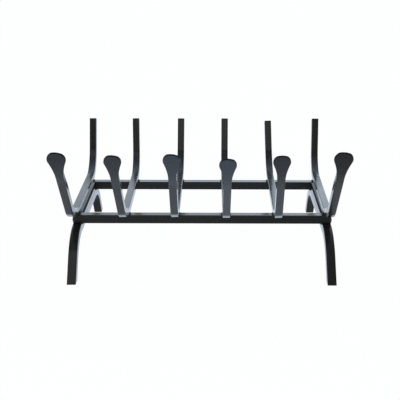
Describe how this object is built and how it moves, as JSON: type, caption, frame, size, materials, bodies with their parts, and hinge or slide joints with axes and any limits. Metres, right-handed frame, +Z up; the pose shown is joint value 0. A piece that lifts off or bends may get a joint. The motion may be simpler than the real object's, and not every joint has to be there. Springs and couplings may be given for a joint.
{
  "type": "log grate",
  "caption": "Free-standing fireplace log grate: square steel bars turned up at front and back to cradle logs, flat hammered ends, a welded frame and two arched legs",
  "frame": {"origin": "on the floor under the middle of the whole grate", "axes": "X runs along the width, positive to the right as seen from the front; Y runs from the hammered front arms to the rear uprights; Z is up"},
  "size_m": [0.5793, 0.5449, 0.3113],
  "materials": {
    "black_steel": "satin black heat-proof paint over hot-rolled and hammered steel",
    "weld_metal": "the same black paint over small rippled weld beads"
  },
  "bodies": {
    "root": {"log_bar_1": "black_steel", "log_bar_2": "black_steel", "log_bar_3": "black_steel", "log_bar_4": "black_steel", "log_bar_5": "black_steel", "log_bar_6": "black_steel", "front_rail": "black_steel", "rear_rail": "black_steel", "side_rail_left": "black_steel", "side_rail_right": "black_steel", "leg_arch_left": "black_steel", "leg_arch_right": "black_steel", "front_weld_1": "weld_metal", "front_weld_2": "weld_metal", "front_weld_3": "weld_metal", "front_weld_4": "weld_metal", "front_weld_5": "weld_metal", "front_weld_6": "weld_metal", "rear_weld_1": "weld_metal", "rear_weld_2": "weld_metal", "rear_weld_3": "weld_metal", "rear_weld_4": "weld_metal", "rear_weld_5": "weld_metal", "rear_weld_6": "weld_metal", "corner_weld_front_left": "weld_metal", "corner_weld_front_right": "weld_metal", "corner_weld_rear_left": "weld_metal", "corner_weld_rear_right": "weld_metal", "leg_weld_front_left": "weld_metal", "leg_weld_front_right": "weld_metal", "leg_weld_rear_left": "weld_metal", "leg_weld_rear_right": "weld_metal"}
  },
  "joints": []
}
